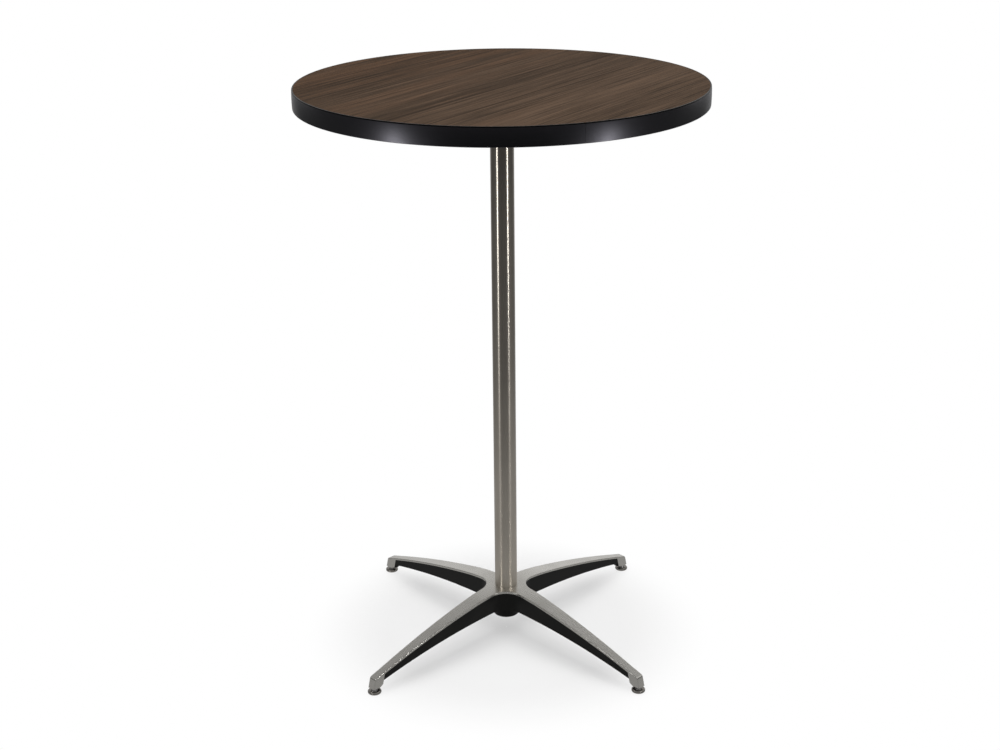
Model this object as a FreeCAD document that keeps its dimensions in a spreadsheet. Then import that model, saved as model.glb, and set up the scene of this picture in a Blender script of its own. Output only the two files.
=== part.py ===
import FreeCAD, Part
import math
import os
import Sketcher

# Round pub table: a banded laminate top on a four-armed spider, a steel tube column clamped by a tie rod,
# and a one-piece cast base with four legs that stand on screw-in levelling glides.
# The origin is on the floor under the middle of the table, with +Z up and the front towards -Y.

# Driving sizes in millimetres and degrees.
SIZES = {
    # whole table
    "table_height": 1066.8,
    "top_diameter": 724.0,
    "leg_angle": 45.0,
    "overrun": 20.0,
    # top boards
    "laminate_thickness": 0.9,
    "core_thickness": 30.0,
    "backer_thickness": 0.9,
    # edge band
    "band_wall": 2.8,
    "band_drop": 1.2,
    "band_round": 1.3,
    "band_seam_angle": 0.08,
    "band_seam_bearing": 291.1,
    "band_gap": 0.05,
    "tongue_thickness": 2.4,
    "tongue_depth": 8.0,
    "barb_height": 0.3,
    "barb_length": 2.5,
    # spider under the top
    "spider_thickness": 6.0,
    "spider_arm_reach": 138.0,
    "spider_arm_round": 16.0,
    "spider_arm_taper": 2.0,
    "spider_crotch_round": 24.0,
    "spider_edge_round": 1.5,
    "spider_hub_diameter": 54.0,
    "spider_hub_length": 44.0,
    "spider_hub_web": 14.0,
    # screws that hold the spider to the core
    "screw_diameter": 5.0,
    "screw_length": 24.0,
    "screw_point": 4.0,
    "screw_head_diameter": 10.4,
    "screw_head_height": 3.4,
    "screw_head_round": 2.2,
    "screw_slot_width": 1.4,
    "screw_slot_length": 5.4,
    "screw_slot_depth": 1.8,
    "screw_gap": 0.1,
    "screw_hole_gap": 0.4,
    "screw_inner_radius": 78.0,
    "screw_spacing": 52.0,
    # column and tie rod
    "column_diameter": 42.4,
    "column_wall": 1.5,
    "column_gap": 0.15,
    "rod_diameter": 10.0,
    "rod_chamfer": 1.0,
    "rod_thread_gap": 0.05,
    "rod_hole_gap": 0.5,
    "rod_tail": 2.0,
    "rod_top_gap": 1.0,
    "nut_across_flats": 17.0,
    "nut_height": 8.0,
    "nut_chamfer": 1.2,
    "spring_washer_diameter": 18.0,
    "spring_washer_thickness": 2.2,
    "spring_washer_slit": 1.5,
    "flat_washer_diameter": 28.0,
    "flat_washer_thickness": 2.5,
    # base hub
    "hub_top": 97.0,
    "hub_bottom": 34.0,
    "hub_diameter": 49.5,
    "hub_edge_round": 1.5,
    "hub_socket_depth": 38.0,
    "hub_web": 8.0,
    "nut_recess_diameter": 32.0,
    "plug_thickness": 2.0,
    "plug_rim_height": 5.0,
    "plug_rim_wall": 1.6,
    "plug_gap": 0.05,
    # base legs
    "glide_circle": 339.6,
    "leg_tip_inset": 3.1,
    "leg_tip_round": 7.5,
    "leg_tip_corner": 4.0,
    "leg_taper": 1.8,
    "leg_crotch_round": 37.0,
    "crown_flat": 26.0,
    "crown_shoulder_radius": 410.0,
    "crown_shoulder_slope": 9.7,
    "crown_leg_radius": 1900.0,
    "crown_bend_inset": 0.5,
    "crown_bend_radius": 6.0,
    "crown_bend_slope": 74.0,
    "lip_height": 4.0,
    "lip_round": 1.4,
    "panel_recess": 1.5,
    "leg_wall": 4.0,
    "leg_skin": 5.5,
    "leg_arch_height": 56.3,
    "leg_arch_radius": 1500.0,
    "leg_hollow_inset": 34.0,
    # feet of the legs
    "foot_bottom": 11.8,
    "foot_top": 44.0,
    "foot_knee": 2.8,
    "foot_sole_round": 8.6,
    "foot_sole_inner": 14.2,
    "foot_sole_outer": 9.6,
    "foot_knee_round": 8.5,
    "foot_knee_inner": 18.8,
    "foot_knee_outer": 8.6,
    "foot_head_round": 8.2,
    "foot_head_inner": 27.0,
    "foot_head_outer": 3.8,
    "foot_corner_round": 4.5,
    # levelling glides
    "glide_diameter": 25.0,
    "glide_thickness": 6.4,
    "glide_top_round": 3.2,
    "glide_bottom_round": 2.4,
    "glide_roof": 2.0,
    "glide_gap": 0.3,
    "pad_diameter": 16.0,
    "pad_thickness": 2.6,
    "pad_proud": 0.4,
    "pad_gap": 0.05,
    "pad_chamfer": 0.4,
    "stem_diameter": 6.0,
    "stem_chamfer": 0.8,
    "stem_thread_gap": 0.08,
    "stem_hole_roof": 5.5,
    "stem_hole_spare": 1.0,
    "stem_neck_diameter": 4.8,
    "stem_head_diameter": 11.0,
    "stem_head_height": 1.6,
    "collar_across_flats": 11.0,
    "collar_height": 1.8,
}
LEG_COUNT = 4
SCREWS_PER_ARM = 2
HALF_SHARE = 0.5
HEXAGON_CORNER_SHARE = 1 / math.sqrt(3)
FULL_TURN = 360.0
QUARTER_TURN = 90.0
LEG_TURN = FULL_TURN / LEG_COUNT
SAME_LEVEL = 0.001
UP = FreeCAD.Vector(0, 0, 1)

doc = FreeCAD.newDocument("pub_table")
sheet = doc.addObject("Spreadsheet::Sheet", "sizes")
for row, (name, number) in enumerate(SIZES.items(), start=1):
    sheet.set(f"A{row}", name)
    sheet.set(f"B{row}", str(number))
    sheet.setAlias(f"B{row}", name)
doc.recompute()


class Size:
    """A length, an angle or a ratio that keeps its number beside the sheet formula that gives it."""

    def __init__(self, value, formula):
        self.value = value
        self.formula = formula

    def __add__(self, other):
        other = sized(other)
        return Size(self.value + other.value, f"({self.formula} + {other.formula})")

    def __sub__(self, other):
        other = sized(other)
        return Size(self.value - other.value, f"({self.formula} - {other.formula})")

    def __mul__(self, other):
        other = sized(other)
        return Size(self.value * other.value, f"({self.formula} * {other.formula})")

    def __truediv__(self, other):
        other = sized(other)
        return Size(self.value / other.value, f"({self.formula} / {other.formula})")

    def __radd__(self, other):
        return sized(other) + self

    def __rsub__(self, other):
        return sized(other) - self

    def __neg__(self):
        return 0 - self


def sized(item):
    return item if isinstance(item, Size) else Size(item, str(item))


def size(alias):
    return Size(float(getattr(sheet, alias)), f"sizes.{alias}")


def half(alias):
    return size(alias) * HALF_SHARE


def sine(angle):
    return Size(math.sin(math.radians(angle.value)), f"sin({angle.formula})")


def cosine(angle):
    return Size(math.cos(math.radians(angle.value)), f"cos({angle.formula})")


def tangent(angle):
    return Size(math.tan(math.radians(angle.value)), f"tan({angle.formula})")


def root(item):
    return Size(math.sqrt(item.value), f"sqrt({item.formula})")


def bind(item, **sizes):
    """Set properties to sizes and tie each one to its sheet formula."""
    for prop, amount in sizes.items():
        setattr(item, prop, amount.value)
        item.setExpression(prop, amount.formula)


def place(item, x=0, y=0, z=0, turn=0):
    """Set a sub-part in the table's frame, with each coordinate tied to its sheet formula."""
    x, y, z, turn = sized(x), sized(y), sized(z), sized(turn)
    spot = FreeCAD.Vector(x.value, y.value, z.value)
    item.Placement = FreeCAD.Placement(spot, FreeCAD.Rotation(UP, turn.value))
    item.setExpression("Placement.Base.x", x.formula)
    item.setExpression("Placement.Base.y", y.formula)
    item.setExpression("Placement.Base.z", z.formula)
    if turn.value:
        item.setExpression("Placement.Rotation.Angle", turn.formula)


def pin(limits, geometry, spot, x, y):
    """Fix one sketch point at (x, y); a zero puts it on the axis instead."""
    for kind, amount, axis in (("DistanceX", x, -2), ("DistanceY", y, -1)):
        if isinstance(amount, Size):
            limit = Sketcher.Constraint(kind, -1, 1, geometry, spot, amount.value)
            limits.append((limit, amount.formula))
        else:
            limits.append((Sketcher.Constraint("PointOnObject", geometry, spot, axis), None))


def tie(sketch, limits):
    """Add the collected constraints and bind the ones that carry a formula."""
    first = sketch.ConstraintCount
    sketch.addConstraint([limit for limit, formula in limits])
    for number, (limit, formula) in enumerate(limits, start=first):
        if formula:
            sketch.setExpression(f"Constraints[{number}]", formula)


def arc_between(start, end, radius):
    """Minor arc from start to end: a positive radius turns left on the way, a negative one right."""
    middle = (start + end) * HALF_SHARE
    chord = end - start
    left = FreeCAD.Vector(-chord.y, chord.x, 0).normalize()
    rise = math.sqrt(max(radius * radius - (chord.Length * HALF_SHARE) ** 2, 0))
    centre = middle + left * math.copysign(rise, radius)
    first, last = (start, end) if radius > 0 else (end, start)
    begin = math.atan2(first.y - centre.y, first.x - centre.x)
    finish = math.atan2(last.y - centre.y, last.x - centre.x)
    return Part.ArcOfCircle(Part.Circle(centre, UP, abs(radius)), begin, finish)


def draw_outline(sketch, corners):
    """Close an outline through corners (x, y), or (x, y, radius) to bend the edge that follows."""
    spots = [FreeCAD.Vector(sized(corner[0]).value, sized(corner[1]).value, 0) for corner in corners]
    limits = []
    ends = []
    for number, corner in enumerate(corners):
        start, end = spots[number], spots[(number + 1) % len(spots)]
        if len(corner) > 2:
            bend = corner[2]
            edge = sketch.addGeometry(arc_between(start, end, bend.value))
            leftward = bend.value > 0
            limits.append((Sketcher.Constraint("Radius", edge, abs(bend.value)), f"abs({bend.formula})"))
        else:
            edge = sketch.addGeometry(Part.LineSegment(start, end))
            leftward = True
        ends.append((edge, 1, 2) if leftward else (edge, 2, 1))
    for number, corner in enumerate(corners):
        edge, start, end = ends[number]
        after, after_start, after_end = ends[(number + 1) % len(ends)]
        limits.append((Sketcher.Constraint("Coincident", edge, end, after, after_start), None))
        pin(limits, edge, start, corner[0], corner[1])
    tie(sketch, limits)


def draw_circle(sketch, radius, x=0, y=0):
    centre = FreeCAD.Vector(sized(x).value, sized(y).value, 0)
    edge = sketch.addGeometry(Part.Circle(centre, UP, radius.value))
    limits = [(Sketcher.Constraint("Radius", edge, radius.value), radius.formula)]
    pin(limits, edge, 3, x, y)
    tie(sketch, limits)


def draw_hexagon(sketch, across):
    corner = across * HEXAGON_CORNER_SHARE
    near = corner * HALF_SHARE
    flat = across * HALF_SHARE
    corners = [(corner, 0), (near, flat), (-near, flat), (-corner, 0), (-near, -flat), (near, -flat)]
    draw_outline(sketch, corners)


def new_body(label):
    return doc.addObject("PartDesign::Body", label)


def new_sketch(body, name, role, height=0):
    """Sketch on one of the body's own origin planes, lifted along the plane's normal by a height."""
    sketch = body.newObject("Sketcher::SketchObject", name)
    plane = next(item for item in body.Origin.OriginFeatures if item.Role == role)
    sketch.AttachmentSupport = [(plane, "")]
    sketch.MapMode = "FlatFace"
    if isinstance(height, Size):
        sketch.AttachmentOffset = FreeCAD.Placement(UP * height.value, FreeCAD.Rotation())
        sketch.setExpression("AttachmentOffset.Base.z", height.formula)
    return sketch


def revolve(body, name, sketch, kind="PartDesign::Revolution", axis="V_Axis"):
    feature = body.newObject(kind, name)
    feature.Profile = sketch
    feature.ReferenceAxis = (sketch, [axis])
    feature.Angle = FULL_TURN
    return feature


def pad(body, name, sketch, length, downwards=False):
    feature = body.newObject("PartDesign::Pad", name)
    feature.Profile = sketch
    feature.Reversed = downwards
    bind(feature, Length=length)
    return feature


def pocket(body, name, sketch, length, upwards=True):
    feature = body.newObject("PartDesign::Pocket", name)
    feature.Profile = sketch
    feature.Reversed = upwards
    bind(feature, Length=length)
    return feature


def polar(body, name, features, sketch, count):
    feature = body.newObject("PartDesign::PolarPattern", name)
    feature.Originals = features
    feature.Axis = (sketch, ["N_Axis"])
    feature.Angle = FULL_TURN
    feature.Occurrences = count
    body.Tip = feature
    return feature


def turned(label, corners):
    """A sub-part turned from one outline, given as radius and height, about its own upright axis."""
    body = new_body(label)
    sketch = new_sketch(body, f"{label}_outline", "XZ_Plane")
    draw_outline(sketch, corners)
    revolve(body, f"{label}_turning", sketch)
    return body


def ring(label, inner, outer, height):
    return turned(label, [(inner, 0), (outer, 0), (outer, height), (inner, height)])


def edges_where(shape, wanted):
    return [f"Edge{number}" for number, edge in enumerate(shape.Edges, start=1) if wanted(edge)]


def edge_middle(edge):
    return edge.valueAt((edge.FirstParameter + edge.LastParameter) * HALF_SHARE)


def quarter_turns(point, count):
    """Turn a sketch point about the origin by a number of quarter turns."""
    x, y = point
    for turn in range(count):
        x, y = -y, x
    return x, y


def star_corners(tip_centre, tip_round, taper, crotch, inset=None, corner=None):
    """Outline of four tapering arms along the sketch axes, with a round crotch between arms.

    An arm ends in a half round, or flat between two corner rounds where their radius is given.
    Its side line is tangent to the rounds at both ends. An inset moves the outline in.
    """
    reach = tip_round / cosine(taper) + tip_centre * tangent(taper)
    middle = (crotch / cosine(taper) + reach) / (1 + tangent(taper))
    bend, far = corner or tip_round, tip_centre + tip_round
    if inset:
        bend = bend - inset
        far = far - inset
        crotch = crotch + inset
        reach = reach - inset / cosine(taper)
    side = (middle - crotch * sine(taper), middle - crotch * cosine(taper))
    near = far - bend
    level = reach - near * tangent(taper) - bend / cosine(taper)
    end = (near + bend * sine(taper), level + bend * cosine(taper))
    corners = []
    for arm in range(LEG_COUNT):
        corners.append(quarter_turns((side[0], -side[1]), arm))
        corners.append(quarter_turns((end[0], -end[1]), arm) + (bend,))
        if corner:
            corners.append(quarter_turns((far, -level), arm))
            corners.append(quarter_turns((far, level), arm) + (bend,))
        else:
            corners.append(quarter_turns((far, sized(0)), arm) + (bend,))
        corners.append(quarter_turns(end, arm))
        corners.append(quarter_turns(side, arm) + (-crotch,))
    return corners


def crown_course(drop):
    """Points of the base's crowned top, lowered by a drop, as radius and height going out.

    The top runs flat round the column, eases over the shoulder, falls along the leg on a wide radius and
    bends down over the tip. Each arc starts at the slope at which the last one ends.
    """
    shoulder, wide, bend = size("crown_shoulder_radius"), size("crown_leg_radius"), size("crown_bend_radius")
    slope_sine, slope_cosine = sine(size("crown_shoulder_slope")), cosine(size("crown_shoulder_slope"))
    flat = (size("crown_flat"), size("hub_top") - drop)
    eased = (flat[0] + shoulder * slope_sine, flat[1] - shoulder * (1 - slope_cosine))
    tip = size("glide_circle") - size("crown_bend_inset")
    tip_sine = slope_sine + (tip - eased[0]) / wide
    tip_cosine = root(1 - tip_sine * tip_sine)
    fallen = (tip, eased[1] - wide * (slope_cosine - tip_cosine))
    bend_sine, bend_cosine = sine(size("crown_bend_slope")), cosine(size("crown_bend_slope"))
    bent = (tip + bend * (bend_sine - tip_sine), fallen[1] - bend * (tip_cosine - bend_cosine))
    return flat, eased, fallen, bent


# Shared levels and radii
laminate_bottom = size("table_height") - size("laminate_thickness")
core_bottom = laminate_bottom - size("core_thickness")
backer_bottom = core_bottom - size("backer_thickness")
core_radius = half("top_diameter") - size("band_wall") - size("band_gap")
column_radius = half("column_diameter")
column_socket_radius = column_radius + size("column_gap")
column_bottom = size("hub_top") - size("hub_socket_depth")
column_top = backer_bottom - size("spider_hub_web")
rod_radius = half("rod_diameter")
rod_hole_radius = rod_radius + size("rod_hole_gap")
nut_seat = column_bottom - size("hub_web")
flat_washer_bottom = nut_seat - size("flat_washer_thickness")
spring_washer_bottom = flat_washer_bottom - size("spring_washer_thickness")
nut_bottom = spring_washer_bottom - size("nut_height")
rod_bottom = nut_bottom - size("rod_tail")
rod_top = backer_bottom - size("rod_top_gap")
screw_shank_bottom = backer_bottom - size("spider_thickness")
screw_hole_radius = half("screw_diameter") + size("screw_hole_gap")
screw_pilot_radius = half("screw_diameter") + size("screw_gap")
screw_outer_radius = size("screw_inner_radius") + size("screw_spacing")
glide_top = size("pad_proud") + size("glide_thickness")
crown_tip_height = crown_course(sized(0))[-1][-1]
stem_hole_top = crown_tip_height - size("stem_hole_roof")
stem_top = stem_hole_top - size("stem_hole_spare")


def screw_holes(body, name, radius, level, depth, upwards):
    """Round holes under every spider screw, cut from a level of the body's own frame."""
    sketch = new_sketch(body, f"{name}_outline", "XY_Plane", level)
    draw_circle(sketch, radius, size("screw_inner_radius"), 0)
    draw_circle(sketch, radius, screw_outer_radius, 0)
    cut = pocket(body, name, sketch, depth, upwards)
    polar(body, f"{name}_pattern", [cut], sketch, LEG_COUNT)


def make_top_core():
    """Core board with the groove for the edge band's tongue and blind holes for the spider screws."""
    thickness = size("core_thickness")
    groove_half = half("tongue_thickness") + size("barb_height") + size("band_gap")
    groove_floor = core_radius - size("tongue_depth") - size("band_gap")
    low, high = thickness * HALF_SHARE - groove_half, thickness * HALF_SHARE + groove_half
    body = turned("top_core", [
        (0, 0), (core_radius, 0), (core_radius, low), (groove_floor, low),
        (groove_floor, high), (core_radius, high), (core_radius, thickness), (0, thickness),
    ])
    depth = size("screw_length") - size("spider_thickness") - size("backer_thickness") + size("screw_gap")
    screw_holes(body, "pilot_holes", screw_pilot_radius, 0, depth, True)
    place(body, z=core_bottom, turn=size("leg_angle"))
    return body


def make_top_laminate():
    thickness = size("laminate_thickness")
    body = turned("top_laminate", [(0, 0), (core_radius, 0), (core_radius, thickness), (0, thickness)])
    place(body, z=laminate_bottom)
    return body


def make_backer_sheet():
    thickness = size("backer_thickness")
    body = turned("backer_sheet", [(0, 0), (core_radius, 0), (core_radius, thickness), (0, thickness)])
    screw_holes(body, "screw_holes", screw_hole_radius, 0, thickness, True)
    place(body, z=backer_bottom, turn=size("leg_angle"))
    return body


def make_edge_band():
    """T-shaped edge band: a wall with rounded outer edges and a barbed tongue, open at one butt seam."""
    outer = half("top_diameter")
    inner = outer - size("band_wall")
    bend = size("band_round")
    low = 0 - size("band_drop")
    top = size("table_height") - backer_bottom
    middle = size("backer_thickness") + size("core_thickness") * HALF_SHARE
    tongue = half("tongue_thickness")
    barb = tongue + size("barb_height")
    tip = inner - size("tongue_depth")
    barb_root = tip + size("barb_length")
    body = new_body("edge_band")
    sketch = new_sketch(body, "band_outline", "XZ_Plane")
    draw_outline(sketch, [
        (inner, low), (outer - bend, low, bend), (outer, low + bend), (outer, top - bend, bend),
        (outer - bend, top), (inner, top), (inner, middle + tongue), (barb_root, middle + tongue),
        (barb_root, middle + barb), (tip, middle + tongue), (tip, middle - tongue),
        (barb_root, middle - barb), (barb_root, middle - tongue), (inner, middle - tongue),
    ])
    band = revolve(body, "band_sweep", sketch)
    bind(band, Angle=FULL_TURN - size("band_seam_angle"))
    place(body, z=backer_bottom, turn=size("band_seam_bearing"))
    return body


def make_top_spider():
    """Cast spider: four arms flat against the top and a hub with the column's socket and the rod's thread."""
    body = new_body("top_spider")
    arm_sketch = new_sketch(body, "spider_outline", "XY_Plane")
    reach, tip = size("spider_arm_reach"), size("spider_arm_round")
    draw_outline(arm_sketch, star_corners(reach, tip, size("spider_arm_taper"), size("spider_crotch_round")))
    pad(body, "spider_arms", arm_sketch, size("spider_thickness"), downwards=True)
    hub_sketch = new_sketch(body, "spider_hub_outline", "XY_Plane")
    draw_circle(hub_sketch, half("spider_hub_diameter"))
    pad(body, "spider_hub", hub_sketch, size("spider_hub_length"), downwards=True)
    bore_sketch = new_sketch(body, "spider_bore_outline", "XZ_Plane")
    thread = rod_radius + size("rod_thread_gap")
    web, bottom = 0 - size("spider_hub_web"), 0 - size("spider_hub_length")
    low, high = bottom - size("overrun"), size("overrun")
    draw_outline(bore_sketch, [
        (0, low), (column_socket_radius, low), (column_socket_radius, web),
        (thread, web), (thread, high), (0, high),
    ])
    revolve(body, "spider_bore", bore_sketch, "PartDesign::Groove")
    screw_holes(body, "arm_holes", screw_hole_radius, 0, size("spider_thickness"), False)
    doc.recompute()
    lowest = -size("spider_thickness").value
    spider_tip = tip.value - SAME_LEVEL
    base = body.Tip

    def arm_rim(edge):
        middle = edge_middle(edge)
        on_face = abs(middle.z - lowest) < SAME_LEVEL
        outside = math.hypot(middle.x, middle.y) > half("spider_hub_diameter").value + SAME_LEVEL
        round_hole = isinstance(edge.Curve, Part.Circle) and edge.Curve.Radius < spider_tip
        return on_face and outside and not round_hole

    rounding = body.newObject("PartDesign::Fillet", "spider_edge_rounding")
    rounding.Base = (base, edges_where(base.Shape, arm_rim))
    bind(rounding, Radius=size("spider_edge_round"))
    body.Tip = rounding
    place(body, z=backer_bottom, turn=size("leg_angle"))
    return body


def make_spider_screws():
    """Pan-head screws through the spider's arms into the core, two on each arm, with crossed driver slots."""
    body = new_body("spider_screws")
    shank, head = half("screw_diameter"), half("screw_head_diameter")
    height, bend = size("screw_head_height"), size("screw_head_round")
    length, point = size("screw_length"), size("screw_point")
    narrow, wide = half("screw_slot_width"), half("screw_slot_length")
    features = []
    for number in range(SCREWS_PER_ARM):
        centre = size("screw_inner_radius") + size("screw_spacing") * number
        sketch = new_sketch(body, f"screw_{number}_outline", "XZ_Plane")
        draw_outline(sketch, [
            (centre, length), (centre + shank, length - point), (centre + shank, 0), (centre + head, 0),
            (centre + head, bend - height, -bend), (centre + head - bend, -height), (centre, -height),
        ])
        foot = FreeCAD.Vector(centre.value, 0, 0)
        line = sketch.addGeometry(Part.LineSegment(foot, foot + FreeCAD.Vector(0, length.value, 0)), True)
        limits = []
        pin(limits, line, 1, centre, 0)
        pin(limits, line, 2, centre, length)
        tie(sketch, limits)
        features.append(revolve(body, f"screw_{number}", sketch, axis="Axis0"))
        slot_sketch = new_sketch(body, f"screw_{number}_slot_outline", "XY_Plane", -height)
        draw_outline(slot_sketch, [
            (centre + wide, -narrow), (centre + wide, narrow), (centre + narrow, narrow),
            (centre + narrow, wide), (centre - narrow, wide), (centre - narrow, narrow),
            (centre - wide, narrow), (centre - wide, -narrow), (centre - narrow, -narrow),
            (centre - narrow, -wide), (centre + narrow, -wide), (centre + narrow, -narrow),
        ])
        features.append(pocket(body, f"screw_{number}_slot", slot_sketch, size("screw_slot_depth")))
    polar(body, "screw_pattern", features, slot_sketch, LEG_COUNT)
    place(body, z=screw_shank_bottom, turn=size("leg_angle"))
    return body


def make_column_tube():
    body = ring("column_tube", column_radius - size("column_wall"), column_radius, column_top - column_bottom)
    place(body, z=column_bottom)
    return body


def make_tie_rod():
    length, chamfer = rod_top - rod_bottom, size("rod_chamfer")
    body = turned("tie_rod", [
        (0, 0), (rod_radius - chamfer, 0), (rod_radius, chamfer), (rod_radius, length - chamfer),
        (rod_radius - chamfer, length), (0, length),
    ])
    place(body, z=rod_bottom)
    return body


def hexagon_pad(body, name, across, height, level=0):
    sketch = new_sketch(body, f"{name}_outline", "XY_Plane", level)
    draw_hexagon(sketch, across)
    return pad(body, name, sketch, height)


def make_rod_nut():
    """Hexagon nut with chamfered corners, bored to run on the rod."""
    body = new_body("rod_nut")
    height, chamfer = size("nut_height"), size("nut_chamfer")
    hexagon_pad(body, "nut_hexagon", size("nut_across_flats"), height)
    corner = size("nut_across_flats") * HEXAGON_CORNER_SHARE
    beyond = corner + size("nut_chamfer")
    bore = rod_radius + size("rod_thread_gap")
    corner_sketch = new_sketch(body, "nut_corner_outline", "XZ_Plane")
    draw_outline(corner_sketch, [(half("nut_across_flats"), 0), (beyond, 0), (beyond, chamfer)])
    revolve(body, "nut_corner_cut", corner_sketch, "PartDesign::Groove")
    bore_sketch = new_sketch(body, "nut_bore_outline", "XY_Plane")
    draw_circle(bore_sketch, bore)
    pocket(body, "nut_bore", bore_sketch, height)
    place(body, z=nut_bottom)
    return body


def make_spring_washer():
    """Split ring under the nut."""
    thickness = size("spring_washer_thickness")
    outer = half("spring_washer_diameter")
    body = ring("spring_washer", rod_radius + size("rod_hole_gap"), outer, thickness)
    slit = half("spring_washer_slit")
    sketch = new_sketch(body, "slit_outline", "XY_Plane")
    draw_outline(sketch, [(0, -slit), (outer + slit, -slit), (outer + slit, slit), (0, slit)])
    pocket(body, "slit", sketch, thickness)
    place(body, z=spring_washer_bottom)
    return body


def make_flat_washer():
    body = ring("flat_washer", rod_hole_radius, half("flat_washer_diameter"), size("flat_washer_thickness"))
    place(body, z=flat_washer_bottom)
    return body


def make_hub_plug():
    """Plastic plug that closes the nut's recess flush with the hub."""
    outer = half("nut_recess_diameter") - size("plug_gap")
    inner = outer - size("plug_rim_wall")
    floor, rim = size("plug_thickness"), size("plug_rim_height")
    body = turned("hub_plug", [(0, 0), (outer, 0), (outer, rim), (inner, rim), (inner, floor), (0, floor)])
    place(body, z=size("hub_bottom"))
    return body


# Pieces of the base casting
def loose_sketch(name, upright=False):
    sketch = doc.addObject("Sketcher::SketchObject", name)
    if upright:
        turn = FreeCAD.Rotation(FreeCAD.Vector(1, 0, 0), QUARTER_TURN)
        sketch.Placement = FreeCAD.Placement(FreeCAD.Vector(), turn)
    return sketch


def prism(name, corners, height):
    sketch = loose_sketch(f"{name}_outline")
    draw_outline(sketch, corners)
    solid = doc.addObject("Part::Extrusion", name)
    solid.Base = sketch
    solid.DirMode = "Normal"
    solid.Solid = True
    bind(solid, LengthFwd=height)
    return solid


def spun(name, corners):
    sketch = loose_sketch(f"{name}_outline", upright=True)
    draw_outline(sketch, corners)
    solid = doc.addObject("Part::Revolution", name)
    solid.Source = sketch
    solid.Axis = UP
    solid.Angle = FULL_TURN
    solid.Solid = True
    return solid


def joined(name, solids):
    whole = doc.addObject("Part::MultiFuse", name)
    whole.Shapes = solids
    return whole


def overlap(name, one, other):
    shared = doc.addObject("Part::Common", name)
    shared.Base = one
    shared.Tool = other
    return shared


def less(name, solid, tool):
    rest = doc.addObject("Part::Cut", name)
    rest.Base = solid
    rest.Tool = tool
    return rest


def above_crown(name, drop):
    """Everything above the base's crowned top, lowered by a drop."""
    shoulder, wide, bend = size("crown_shoulder_radius"), size("crown_leg_radius"), size("crown_bend_radius")
    flat, eased, fallen, bent = crown_course(drop)
    beyond = bent[0] + size("overrun")
    foot = bent[1] - size("overrun") * tangent(size("crown_bend_slope"))
    top = size("hub_top") + size("overrun")
    return spun(name, [
        (0, flat[1]), flat + (-shoulder,), eased + (-wide,), fallen + (-bend,), bent,
        (beyond, foot), (beyond, top), (0, top),
    ])


def rounded_top(name, solid, radius):
    """Round the edges where a solid's walls meet its crowned top."""
    doc.recompute()
    shape = solid.Shape

    def along_rim(edge):
        faces = shape.ancestorsOfType(edge, Part.Face)
        middle = edge_middle(edge)
        tilts = []
        for face in faces:
            u, v = face.Surface.parameter(middle)
            tilts.append(face.normalAt(u, v).z)
        return len(tilts) == 2 and max(tilts) > HALF_SHARE and abs(min(tilts)) < HALF_SHARE

    rounding = doc.addObject("Part::Fillet", name)
    rounding.Base = solid
    numbers = [number for number, edge in enumerate(shape.Edges, start=1) if along_rim(edge)]
    rounding.Edges = [(number, radius.value, radius.value) for number in numbers]
    return rounding


def foot_corners(inner, outer, bend, corner):
    """Outline of the post along the leg: a half-round inner end, and a flat outer end with corner rounds."""
    near, far, flat = inner + bend, outer - corner, bend - corner
    return [
        (near, -bend), (far, -bend, corner), (outer, -flat), (outer, flat, corner),
        (far, bend), (near, bend, bend), (inner, sized(0), bend),
    ]


def make_foot(crown):
    """The post at a leg's tip: it leans out to the sole and narrows in steps, cut off at the crown."""
    sections = []
    levels = {
        "sole": size("foot_bottom"),
        "knee": size("foot_bottom") + size("foot_knee"),
        "head": size("foot_top"),
    }
    for part, level in levels.items():
        inner = size("glide_circle") - size(f"foot_{part}_inner")
        outer = size("glide_circle") + size(f"foot_{part}_outer")
        bend, corner = size(f"foot_{part}_round"), size("foot_corner_round")
        sketch = loose_sketch(f"foot_{part}_outline")
        draw_outline(sketch, foot_corners(inner, outer, bend, corner))
        place(sketch, z=level)
        sections.append(sketch)
    post = doc.addObject("Part::Loft", "foot_post")
    post.Sections = sections
    post.Solid = True
    post.Ruled = True
    return rounded_top("foot", less("foot_under_crown", post, crown), size("lip_round"))


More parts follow.
